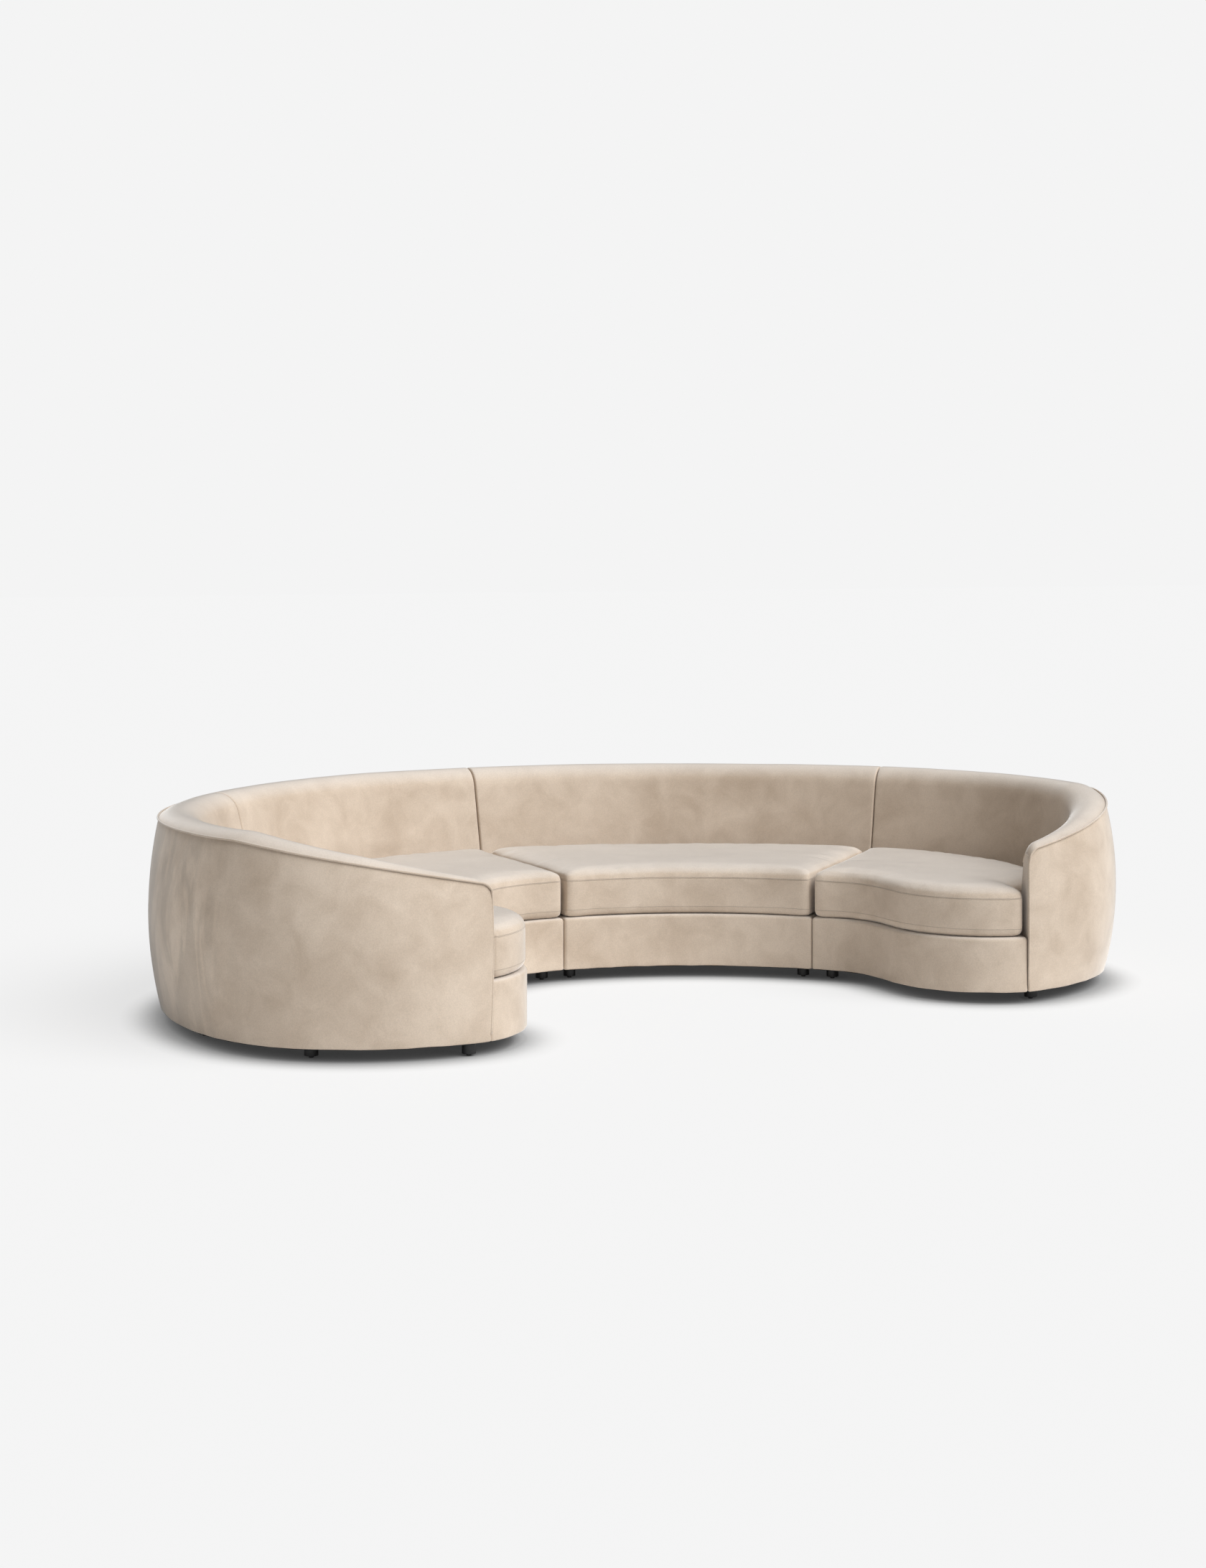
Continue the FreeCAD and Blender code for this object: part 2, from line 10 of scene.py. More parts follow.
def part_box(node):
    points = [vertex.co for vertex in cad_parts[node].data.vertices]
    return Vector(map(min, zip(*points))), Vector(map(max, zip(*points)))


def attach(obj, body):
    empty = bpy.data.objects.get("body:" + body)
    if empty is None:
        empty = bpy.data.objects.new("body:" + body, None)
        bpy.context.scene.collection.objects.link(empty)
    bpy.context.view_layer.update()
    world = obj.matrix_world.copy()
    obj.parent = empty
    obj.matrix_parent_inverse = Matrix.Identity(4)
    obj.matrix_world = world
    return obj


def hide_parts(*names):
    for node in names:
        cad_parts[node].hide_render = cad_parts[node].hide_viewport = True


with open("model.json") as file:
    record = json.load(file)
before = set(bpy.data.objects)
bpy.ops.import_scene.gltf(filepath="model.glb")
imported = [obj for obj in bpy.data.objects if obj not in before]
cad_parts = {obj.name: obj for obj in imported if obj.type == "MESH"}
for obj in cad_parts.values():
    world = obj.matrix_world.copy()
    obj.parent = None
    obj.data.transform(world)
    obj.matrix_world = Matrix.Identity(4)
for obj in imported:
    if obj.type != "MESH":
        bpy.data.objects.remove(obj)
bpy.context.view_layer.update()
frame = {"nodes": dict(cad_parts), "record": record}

# A curved modular sofa in beige velvet. Every module is drawn in a plan frame of its own:
# U runs away from its first seam and V runs from the seat front to the back. Metres.

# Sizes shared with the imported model
base_bottom = 0.045
base_top = 0.250
back_top = 0.755
arm_top = 0.592
bulge_height = 0.390
module_depth = 1.170
middle_angle = 45.0
middle_front_radius = 1.270
curve_angle = 50.0
curve_front_radius = 0.600
left_lead_angle = 12.0
seam_width = 0.002
half_seam = seam_width / 2
back_depth = 0.310
arm_depth = 0.195
bottom_draw = 0.045
welt_draw = 0.038
shoulder = (1.345, -43.0)
corner = (0.665, -47.0)
arm = (0.845, -41.0)
arm_face_lean = 22.5
arm_climb = 1.0
arm_climb_power = 1.2
front_straight = 0.060
front_slope = 0.120
front_corner_draw = 0.045
module_fit = 0.001
base_edge_radius = 0.014
cushion_thickness = 0.185
cushion_overhang = 0.015
cushion_side_gap = 0.002
cushion_rear_gap = 0.008
cushion_lift = 0.0004
welt_radius = 0.004
connector_length = 0.045
first_connector = 0.330

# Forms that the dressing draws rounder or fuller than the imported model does
roll_end_depth = 0.200
roll_end_drop = 0.070
front_bend = (0.330, -44.0)
dome_drop = 0.028
crown_draw = 0.060
crown_drop = 0.013
dome_draw = 0.110
dome_top_drop = 0.001
dome_roll_draw = 0.167
dome_roll_drop = 0.020
arm_corner_radius = 0.050
arm_corner_share = 0.97
arm_flat_reach = 0.50
arm_flat_draw = 0.034
arm_bulge_fall = 0.090

# Edges, hem and cloth of the back and base
arm_end_reach = 0.070
seam_edge_radius = 0.009
arm_edge_radius = 0.008
hem_radius = 0.006
hem_turn_in = 0.016
hem_waviness = 0.0040
hem_wave_scale = 7.0
back_wave_height = 0.06
base_wave_height = 0.05
fabric_unevenness = 0.0016
broad_scale = 3.1
broad_place = (11.3, 4.7, 8.1)
narrow_scale = 9.0
narrow_place = (2.3, 14.1, 5.9)
narrow_share = 0.35
even_rings = 8
even_rows = 6
even_welt_rows = 5

# Seat cushions and their sewn seams
cushion_start_inset = 0.006
cushion_plan_radius = 0.042
cushion_top_radius = 0.036
cushion_low_radius = 0.026
cushion_voxel = 0.013
cushion_pressure = 4.0
cushion_swell_cap = 0.015
cushion_crown = 0.013
cushion_waviness = 0.004
cushion_broad_wave = (4.0, 0.6)
cushion_narrow_wave = (11.0, 0.25)
sim_frames = 16
pressed_edge = 0.036
pressed_share = 0.35
stitch_radius = 0.0012
stitch_spacing = 0.0040
stitch_sink = 0.3
cushion_seam_drop = 0.036
bottom_seam_share = 0.8

# Fineness of the meshes
plan_step = 0.014
back_step = 0.020
arm_end_step = 0.005
edge_steps = 6
hem_steps = 4
base_side_steps = 10
cushion_steps = 8
corner_steps = 8
circle_handle = 0.552
sharp_corner = 30.0
cap_columns = 5

# Steps of the back's profile: hem turn-in, hem bend, outer side, crown, roll, inner side, inner hem
profile_steps = (3, 4, 26, 10, 14, 22, 4)
hem_row = sum(profile_steps[:2])
welt_row = sum(profile_steps[:3])
roll_row = sum(profile_steps[:5])

# Colours of the velvet, and the stretch of the far left side where its pile is crushed
velvet_light = (0.655, 0.552, 0.450)
velvet_dark = (0.505, 0.408, 0.318)
# Darker copy of the velvet's colours for the seam cords: painted shade along the seam lines
painted_shade_seam_light = (0.450, 0.372, 0.298)
painted_shade_seam_dark = (0.370, 0.302, 0.238)
# Paler, more neutral colour for upward faces: a painted sheen where the tops catch the light
painted_top_sheen_colour = (0.700, 0.650, 0.600)
painted_sheen_from = 0.45
painted_sheen_share = 0.65
cloud_scale = 2.2
patch_scale = 7.5
grain_scale = 230.0
fibre_scale = 900.0
crush_scale = 6.0
crushed_from = -1.79
crushed_to = -1.90

# Floor and light
background = 0.905
floor_reach = 60.0
# Reach of the ambient occlusion that paints the floor's shadow near the sofa
painted_shadow_reach = 0.16
floor_glow = 0.80
fill_strength = 0.25
key_strength = 3.35
key_spread = 50.0
key_right = 0.78
key_front = 0.36

# The photograph's camera: its plan place and heading come from the round feet and the seams
camera_place = (-4.192, -9.292, 1.771)
camera_heading = 24.0
image_height = 2184
focal_pixels = 3600
horizon_above_middle = 352
sensor = 36.0
farthest_view = 200


def move(point, heading, distance):
    """Plan point at a distance from another, along a heading in degrees."""
    angle = math.radians(heading)
    return (point[0] + distance * math.cos(angle), point[1] + distance * math.sin(angle))


def follow(start, heading, steps, distance):
    """Point and heading at a distance along straight runs (length, 0) and arcs (radius, turn)."""
    point = start
    for size, turn in steps:
        whole = size if turn == 0 else size * math.radians(abs(turn))
        run = min(distance, whole)
        if turn == 0:
            point = move(point, heading, run)
        elif run > 0:
            side = math.copysign(1, turn)
            centre = move(point, heading + 90 * side, size)
            turned = turn * run / whole
            point = move(centre, heading - 90 * side + turned, size)
            heading += turned
        distance -= run
        if distance <= 0:
            break
    return point, heading


def run_length(steps):
    return sum(size if turn == 0 else size * math.radians(abs(turn)) for size, turn in steps)


class Module:
    """Plan of one module: an outline for the back and a front line for the seat."""

    def __init__(self, name, mirrored, origin, turn, outline, front, armed):
        self.name = name
        self.mirrored = mirrored
        self.origin = origin
        self.turn = math.radians(turn)
        self.outline = outline
        self.front = front
        self.armed = armed
        self.length = run_length(outline)

    def world(self, u, v, z):
        if self.mirrored:
            u = -u
        c, s = math.cos(self.turn), math.sin(self.turn)
        return Vector((self.origin[0] + u * c - v * s, self.origin[1] + u * s + v * c, z))

    def station(self, distance):
        """Outer point, inward heading, top height and depth of the back at a distance."""
        point, heading = follow((0.0, module_depth), 0.0, self.outline, distance)
        if not self.armed:
            return point, heading - 90, back_top, back_depth
        to_end = self.length - distance
        lean = arm_face_lean * max(0.0, 1 - to_end / (arm_climb / 2))
        level = max(0.0, 1 - to_end / arm_climb) ** arm_climb_power
        top = back_top - (back_top - arm_top) * level
        depth = back_depth - (back_depth - arm_depth) * level
        cut = arm_corner_share * max(0.0, arm_corner_radius - to_end)
        top -= arm_corner_radius - math.sqrt(arm_corner_radius ** 2 - cut ** 2)
        return point, heading - 90 - lean, top, depth

    def flatness(self, distance):
        """How far the outer side's bulge has gone at a distance, from 0 to 1 at the arm's end."""
        if not self.armed:
            return 0.0
        return max(0.0, 1 - (self.length - distance) / arm_flat_reach) ** 2


def seam_places():
    """Plan place of the first seam's front corner, and of the seams to its right and left."""
    tongue_low, tongue_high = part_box("middle_seam_tongues")
    first = (tongue_high.x - connector_length - seam_width, tongue_low.y - first_connector)
    right = move((first[0], first[1] - middle_front_radius), 90 - middle_angle, middle_front_radius)
    left = move((first[0], first[1] - curve_front_radius), 90 + curve_angle, curve_front_radius)
    return first, right, left


def make_modules():
    first, right, left = seam_places()
    arm_outline = (shoulder, corner, arm)
    arm_front = ((front_straight, 0), front_bend, (front_slope, 0))
    lead_outline = ((curve_front_radius + module_depth, -left_lead_angle),)
    lead_front = ((curve_front_radius, -left_lead_angle),)
    middle_outline = ((middle_front_radius + module_depth, -middle_angle),)
    curve_outline = ((curve_front_radius + module_depth, -curve_angle),)
    return (
        Module("middle", False, first, 0, middle_outline, ((middle_front_radius, -middle_angle),), False),
        Module("right_end", False, right, -middle_angle, arm_outline, arm_front, True),
        Module("left_curve", True, first, 0, curve_outline, ((curve_front_radius, -curve_angle),), False),
        Module("left_end", True, left, curve_angle, lead_outline + arm_outline,
               lead_front + arm_front, True),
    )


def arc_points(first, middle, last, steps):
    """Points on the arc through three points, without the first one."""
    a, b, c = (np.array(p, float) for p in (first, middle, last))
    d = 2 * (a[0] * (b[1] - c[1]) + b[0] * (c[1] - a[1]) + c[0] * (a[1] - b[1]))
    aa, bb, cc = a @ a, b @ b, c @ c
    centre = np.array([
        (aa * (b[1] - c[1]) + bb * (c[1] - a[1]) + cc * (a[1] - b[1])) / d,
        (aa * (c[0] - b[0]) + bb * (a[0] - c[0]) + cc * (b[0] - a[0])) / d,
    ])
    radius = np.linalg.norm(a - centre)
    start = math.atan2(a[1] - centre[1], a[0] - centre[0])
    stop = math.atan2(c[1] - centre[1], c[0] - centre[0])
    through = math.atan2(b[1] - centre[1], b[0] - centre[0])
    turn = (stop - start) % (2 * math.pi)
    if (through - start) % (2 * math.pi) > turn:
        turn -= 2 * math.pi
    angles = [start + turn * i / steps for i in range(1, steps + 1)]
    return [centre + radius * np.array([math.cos(angle), math.sin(angle)]) for angle in angles]


def back_profile(top, depth, flatness=0.0):
    """Draw and height of the back's skin, from the outer hem over the top to the inner hem."""
    share = depth / back_depth
    hem_in = np.array([bottom_draw + hem_turn_in, base_bottom])
    hem_bend = np.array([bottom_draw + hem_radius, base_bottom])
    hem_corner = np.array([bottom_draw + hem_radius * 0.2, base_bottom + hem_radius * 0.25])
    hem = np.array([bottom_draw - 0.0015, base_bottom + hem_radius])
    bulge = np.array([arm_flat_draw * flatness, bulge_height - arm_bulge_fall * flatness])
    welt = np.array([welt_draw, top - dome_drop * share])
    crown = np.array([welt_draw + (crown_draw - welt_draw) * share, top - crown_drop * share])
    flat_end = np.array([dome_draw * share, top - dome_top_drop])
    roll = np.array([dome_roll_draw * share, top - dome_roll_drop * share])
    roll_end = np.array([roll_end_depth * share, top - roll_end_drop * share])
    foot = np.array([depth, base_bottom])
    tuck = np.array([depth, base_top])
    n = profile_steps
    points = [hem_in + (hem_bend - hem_in) * i / n[0] for i in range(n[0] + 1)]
    points += arc_points(hem_bend, hem_corner, hem, n[1])
    points += arc_points(hem, bulge, welt, n[2])
    points += arc_points(welt, crown, flat_end, n[3])
    points += arc_points(flat_end, roll, roll_end, n[4])
    points += [roll_end + (tuck - roll_end) * i / n[5] for i in range(1, n[5] + 1)]
    points += [tuck + (foot - tuck) * i / n[6] for i in range(1, n[6] + 1)]
    points.append(foot - np.array([hem_turn_in, 0]))
    return np.array(points)


def inset_profile(points, inset):
    """The profile drawn in towards its inside."""
    ahead = np.roll(points, -1, 0) - points
    behind = points - np.roll(points, 1, 0)
    ahead[-1] = behind[-1]
    behind[0] = ahead[0]
    along = ahead / np.linalg.norm(ahead, axis=1)[:, None] + behind / np.linalg.norm(behind, axis=1)[:, None]
    along /= np.linalg.norm(along, axis=1)[:, None]
    inwards = np.stack([along[:, 1], -along[:, 0]], 1)
    return points + inwards * inset


def end_rings(length, start_radius, stop_radius, armed):
    """Distances along the back with the profile's inset there, rounded at both ends."""
    rings = []
    for i in range(edge_steps + 1):
        angle = math.pi / 2 * i / edge_steps
        rings.append((start_radius * (1 - math.sin(angle)), start_radius * (1 - math.cos(angle))))
    rings.reverse()
    first = start_radius
    fine = length - (arm_end_reach if armed else stop_radius)
    last = length - stop_radius
    count = round((fine - first) / back_step)
    rings += [(first + (fine - first) * i / count, 0.0) for i in range(1, count + armed)]
    count = round((last - fine) / arm_end_step)
    rings += [(fine + (last - fine) * i / count, 0.0) for i in range(1, count)]
    for i in range(edge_steps + 1):
        angle = math.pi / 2 * i / edge_steps
        rings.append((length - stop_radius * (1 - math.sin(angle)), stop_radius * (1 - math.cos(angle))))
    return rings


def fabric_push(point, amount):
    """Small push along the normal that makes a stretched cloth look uneven."""
    broad = noise.noise(point * broad_scale + Vector(broad_place))
    narrow = noise.noise(point * narrow_scale + Vector(narrow_place))
    return amount * (broad + narrow_share * narrow)


def new_object(name, verts, faces, material):
    mesh = bpy.data.meshes.new(name)
    mesh.from_pydata(verts, [], faces)
    mesh.update()
    made = bpy.data.objects.new(name, mesh)
    bpy.context.scene.collection.objects.link(made)
    mesh.materials.append(material)
    return made


def outwards(made):
    """Turns all faces outwards and shades them smooth."""
    bm = bmesh.new()
    bm.from_mesh(made.data)
    bmesh.ops.remove_doubles(bm, verts=bm.verts, dist=0.00002)
    bmesh.ops.recalc_face_normals(bm, faces=bm.faces)
    for face in bm.faces:
        face.smooth = True
    bm.to_mesh(made.data)
    bm.free()
    return made


def dress(piece, body, slot_name, *nodes):
    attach(piece, body)
    if nodes:
        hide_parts(*nodes)
    return piece


def back_ring(module, distance, inset):
    """Points of the back's skin round one station."""
    outer, inward, top, depth = module.station(distance)
    profile = back_profile(top, depth, module.flatness(distance))
    profile = inset_profile(profile, inset) if inset > 0 else profile
    ring = []
    for draw, height in profile:
        u, v = move(outer, inward, draw)
        ring.append(Vector((u, v, height)))
    return ring


def make_back(module, material):
    stop_radius = arm_edge_radius if module.armed else seam_edge_radius
    trim = half_seam if module.armed else half_seam * (1 + module_depth / module.front[0][0])
    rings = []
    length = module.length - trim - (0 if module.armed else trim)
    for distance, inset in end_rings(length, seam_edge_radius, stop_radius, module.armed):
        rings.append(back_ring(module, distance + trim, inset))
    count = len(rings[0])
    grid = np.array([[tuple(p) for p in ring] for ring in rings])
    along = np.gradient(grid, axis=0)
    across = np.gradient(grid, axis=1)
    normals = np.cross(across, along)
    normals /= np.maximum(np.linalg.norm(normals, axis=2), 1e-9)[:, :, None]
    verts = []
    for i, ring in enumerate(rings):
        ends = min(i, len(rings) - 1 - i) / even_rings
        for j, point in enumerate(ring):
            weight = min(1.0, ends) * min(1.0, j / even_rows, (count - 1 - j) / even_rows)
            weight *= min(1.0, abs(j - welt_row - 1) / even_welt_rows)
            push = fabric_push(module.world(*point), fabric_unevenness) * weight
            moved = point + Vector(normals[i, j]) * push
            share = max(0.0, 1 - (point.z - base_bottom) / back_wave_height) * min(1.0, ends)
            wave = abs(noise.noise(module.world(point.x, point.y, 0) * hem_wave_scale)) * hem_waviness
            moved.z += wave * share
            verts.append(module.world(*moved))
    faces = []
    for i in range(len(rings) - 1):
        for j in range(count - 1):
            a = i * count + j
            faces.append((a, a + 1, a + count + 1, a + count))
    for i in (0, len(rings) - 1):
        faces += cap_faces(verts, i * count, count)
    back = outwards(new_object(module.name + "_back", verts, faces, material))
    return dress(back, module.name, "velvet", module.name + "_back_cover", module.name + "_back_foam")


def cap_faces(verts, start, count):
    """Ladder of faces that closes one end of the back between its two sides."""
    rungs = count // 2
    rows = []
    for i in range(rungs):
        left, right = start + i, start + count - 1 - i
        row = [left]
        for k in range(1, cap_columns):
            verts.append(verts[left].lerp(verts[right], k / cap_columns))
            row.append(len(verts) - 1)
        row.append(right)
        rows.append(row)
    faces = []
    for low, high in zip(rows, rows[1:]):
        for k in range(cap_columns):
            faces.append((low[k], low[k + 1], high[k + 1], high[k]))
    last = rows[-1]
    middle = [start + rungs] if count % 2 else []
    faces.append(tuple(last + middle))
    return faces


def tube(name, points, radius, material, closed=False, sides=8):
    """Round cord along points."""
    count = len(points)
    verts, faces = [], []
    side = None
    for i, point in enumerate(points):
        before = points[i - 1] if closed or i > 0 else point
        after = points[(i + 1) % count] if closed or i < count - 1 else point
        along = (after - before).normalized()
        if side is None:
            side = along.orthogonal().normalized()
        side = (side - along * side.dot(along)).normalized()
        up = along.cross(side)
        for k in range(sides):
            angle = 2 * math.pi * k / sides
            verts.append(point + (side * math.cos(angle) + up * math.sin(angle)) * radius)
    for i in range(count if closed else count - 1):
        a, b = i * sides, ((i + 1) % count) * sides
        for k in range(sides):
            n = (k + 1) % sides
            faces.append((a + k, a + n, b + n, b + k))
    if not closed:
        faces.append(tuple(range(sides)))
        faces.append(tuple(range((count - 1) * sides, count * sides)))
    return outwards(new_object(name, verts, faces, material))


def make_welt(module, material):
    """Cord along the outer top edge, which on an arm turns down its end face."""
    trim = half_seam * (1 if module.armed else 1 + module_depth / module.front[0][0])
    seat = welt_radius / math.sqrt(2)
    stop = module.length - (arm_edge_radius if module.armed else trim)
    fine = stop - (arm_end_reach if module.armed else 0.0)
    count = round((fine - trim) / back_step)
    distances = [trim + (fine - trim) * i / count for i in range(count + 1)]
    count = round((stop - fine) / arm_end_step)
    distances += [fine + (stop - fine) * i / count for i in range(1, count + 1)]
    points = []
    for distance in distances:
        outer, inward, top, depth = module.station(distance)
        u, v = move(outer, inward, welt_draw - seat)
        points.append(module.world(u, v, top - dome_drop * depth / back_depth + seat))
    if module.armed:
        points += arm_end_line(module)
    cord = tube(module.name + "_welt_cord", points, welt_radius, material)
    return dress(cord, module.name, "velvet_welt", module.name + "_welt")


def arm_end_profile(module):
    """Profile of the arm's end, on its rounded corner, with its outer point and inward heading."""
    outer, inward, top, depth = module.station(module.length - arm_edge_radius * 0.3)
    profile = inset_profile(back_profile(top, depth, 1.0), arm_edge_radius * 0.3)
    return outer, inward, profile


def arm_end_line(module):
    """Points down the outer edge of the arm's end face, just proud of its rounded corner."""
    outer, inward, profile = arm_end_profile(module)
    points = []
    for draw, height in profile[welt_row - 1:hem_row:-1]:
        u, v = move(outer, inward, draw)
        points.append(module.world(u, v, height))
    return points


def make_arch_welt(module, material):
    """Cord over the top of the arm's end face, from the outer corner down the inner side."""
    outer, inward, profile = arm_end_profile(module)
    points = []
    for draw, height in profile[welt_row:roll_row]:
        u, v = move(outer, inward, draw)
        points.append(module.world(u, v, height))
    cord = tube(module.name + "_arch_welt", points, welt_radius * 0.8, material)
    return dress(cord, module.name, "velvet_welt")


def round_corners(points, radius):
    """Closed plan loop with each sharp corner replaced by a round one."""
    loop = [np.array(p, float) for p in points]
    count = len(loop)
    corners = []
    for i in range(count):
        a, b = loop[i] - loop[i - 1], loop[(i + 1) % count] - loop[i]
        turn = math.degrees(math.atan2(a[0] * b[1] - a[1] * b[0], a @ b))
        if abs(turn) > sharp_corner:
            corners.append((i, turn))
    lengths = [np.linalg.norm(loop[(i + 1) % count] - loop[i]) for i in range(count)]
    out = []
    cut = {i: radius * math.tan(math.radians(abs(turn)) / 2) for i, turn in corners}

    def nearest_corner_distance(i):
        best = None
        for direction in (1, -1):
            total, k = 0.0, i
            for _ in range(count):
                if k in cut:
                    best = min(best, total / cut[k]) if best is not None else total / cut[k]
                    break
                total += lengths[k if direction == 1 else (k - 1) % count]
                k = (k + direction) % count
        return best

    def walk_from(i, direction, distance):
        k, total = i, 0.0
        while True:
            step = lengths[k if direction == 1 else (k - 1) % count]
            nxt = (k + direction) % count
            if total + step >= distance:
                return loop[k] + (loop[nxt] - loop[k]) * ((distance - total) / step)
            total += step
            k = nxt

    for i in range(count):
        if i in cut:
            start, stop, tip = walk_from(i, -1, cut[i]), walk_from(i, 1, cut[i]), loop[i]
            one, two = start + (tip - start) * circle_handle, stop + (tip - stop) * circle_handle
            for k in range(corner_steps + 1):
                t = k / corner_steps
                out.append((1 - t) ** 3 * start + 3 * (1 - t) ** 2 * t * one
                           + 3 * (1 - t) * t ** 2 * two + t ** 3 * stop)
        elif nearest_corner_distance(i) > 1.02:
            out.append(loop[i])
    return out


def seat_loop(module, front, side, rear, radius):
    """Closed plan loop of the seat, drawn in at the front, sides and rear."""
    clear = module_fit + rear
    points = []
    length = run_length(module.front)
    first_radius, first_turn = module.front[0]
    if module.armed:
        outer, inward, _, depth = module.station(module.length)
        facing = inward + 90
        front_end = move(move(outer, inward, front_corner_draw + front), facing, clear)
        inner_end = move(move(outer, inward, depth + clear), facing, clear)
        trim_start = half_seam + side
        count = round((length - trim_start) / plan_step)
        for i in range(count + 1):
            distance = trim_start + (length - trim_start) * i / count
            point, heading = follow((0.0, 0.0), 0.0, module.front, distance)
            points.append(move(point, heading + 90, front))
        last, heading = points[-1], heading
        points += bend_to(last, heading, front_end)
        points += straight(front_end, inner_end)[1:]
        start, stop = 0.0, module.length
        count = round((stop - start) / plan_step)
        for i in range(1, count):
            outer, inward, _, depth = module.station(stop - (stop - start) * i / count)
            point = move(outer, inward, depth + clear)
            if point[0] > half_seam + side + plan_step / 2:
                points.append(point)
        seam_end = (half_seam + side, module_depth - back_depth - clear)
        points += straight(seam_end, points[0])[:-1]
    else:
        centre = (0.0, -first_radius)
        near, far = first_radius + front, first_radius + module_depth - back_depth - clear
        trim = math.degrees((half_seam + side) / first_radius)
        start, stop = 90 - trim, 90 - (abs(first_turn) - trim)
        count = round(near * math.radians(start - stop) / plan_step)
        points += [move(centre, start + (stop - start) * i / count, near) for i in range(count + 1)]
        points += straight(points[-1], move(centre, stop, far))[1:]
        count = round(far * math.radians(start - stop) / plan_step)
        points += [move(centre, stop + (start - stop) * i / count, far) for i in range(1, count + 1)]
        points += straight(points[-1], points[0])[1:-1]
    return round_corners(points, radius)


def straight(first, last):
    """Points on the straight line between two plan points, with both."""
    count = max(1, round(math.dist(first, last) / plan_step))
    return [(first[0] + (last[0] - first[0]) * i / count, first[1] + (last[1] - first[1]) * i / count)
            for i in range(count + 1)]


def bend_to(start, heading, end):
    """Points on the arc that leaves start along a heading and reaches end, without start."""
    run = (end[0] - start[0], end[1] - start[1])
    chord = math.hypot(*run)
    half_turn = math.degrees(math.atan2(run[1], run[0])) - heading
    radius = chord / 2 / math.sin(math.radians(abs(half_turn)))
    turn = 2 * half_turn
    count = round(radius * math.radians(abs(turn)) / plan_step)
    steps = ((radius, turn),)
    whole = run_length(steps)
    return [follow(start, heading, steps, whole * i / count)[0] for i in range(1, count + 1)]


def loop_inset(loop, inset):
    """Closed plan loop drawn in by an inset along its own normals."""
    pts = np.array(loop)
    along = np.roll(pts, -1, 0) - np.roll(pts, 1, 0)
    along /= np.linalg.norm(along, axis=1)[:, None]
    inwards = np.stack([-along[:, 1], along[:, 0]], 1)
    return pts + inwards * inset


def rows_to_mesh(module, name, rows, material, close_low=True):
    """Skin over stacked plan loops that all have as many points."""
    count = len(rows[0][0])
    verts = [module.world(u, v, z) for loop, z in rows for u, v in loop]
    faces = []
    for i in range(len(rows) - 1):
        for j in range(count):
            a, b = i * count + j, i * count + (j + 1) % count
            faces.append((a, b, b + count, a + count))
    if close_low:
        faces.append(tuple(range(count)))
    faces.append(tuple(range((len(rows) - 1) * count, len(rows) * count)))
    return outwards(new_object(name, verts, faces, material))


def boxed_rows(loop, heights, radii, steps):
    """Stacked plan loops and heights of a form that is rounded below and above its upright side."""
    low, high = heights
    low_radius, top_radius = radii
    low_steps, side_steps, top_steps = steps
    rows = []
    for i in range(low_steps + 1):
        angle = math.pi / 2 * i / low_steps
        rows.append((loop_inset(loop, low_radius * (1 - math.sin(angle))),
                     low + low_radius * (1 - math.cos(angle))))
    side_low = low + low_radius
    side_high = high - top_radius
    rows += [(np.array(loop), side_low + (side_high - side_low) * i / side_steps)
             for i in range(1, side_steps)]
    for i in range(top_steps + 1):
        angle = math.pi / 2 * i / top_steps
        rows.append((loop_inset(loop, top_radius * (1 - math.cos(angle))),
                     side_high + top_radius * math.sin(angle)))
    return rows


def make_base(module, material):
    loop = seat_loop(module, 0.0, 0.0, 0.0, base_edge_radius)
    rows = [(loop_inset(loop, hem_turn_in), base_bottom)]
    rows += boxed_rows(loop, (base_bottom, base_top), (hem_radius, base_edge_radius),
                       (hem_steps, base_side_steps, edge_steps))
    base = rows_to_mesh(module, module.name + "_base", rows, material, close_low=False)
    for vert in base.data.vertices:
        share = max(0.0, 1 - (vert.co.z - base_bottom) / base_wave_height)
        wave = abs(noise.noise(Vector((vert.co.x, vert.co.y, 0)) * hem_wave_scale))
        vert.co.z += wave * hem_waviness * share
    return dress(base, module.name, "velvet", module.name + "_base_cover")


def cushion_shape(module, name, inset, material):
    """Closed boxed cushion with round edges, which the simulation then fills out."""
    loop = seat_loop(module, inset - cushion_overhang, inset + cushion_side_gap,
                     inset + cushion_rear_gap, cushion_plan_radius - inset)
    low = base_top + cushion_lift + inset * 0.3
    high = base_top + cushion_lift + cushion_thickness - inset
    rows = boxed_rows(loop, (low, high), (cushion_low_radius, cushion_top_radius), (cushion_steps,) * 3)
    return rows_to_mesh(module, name, rows, material)


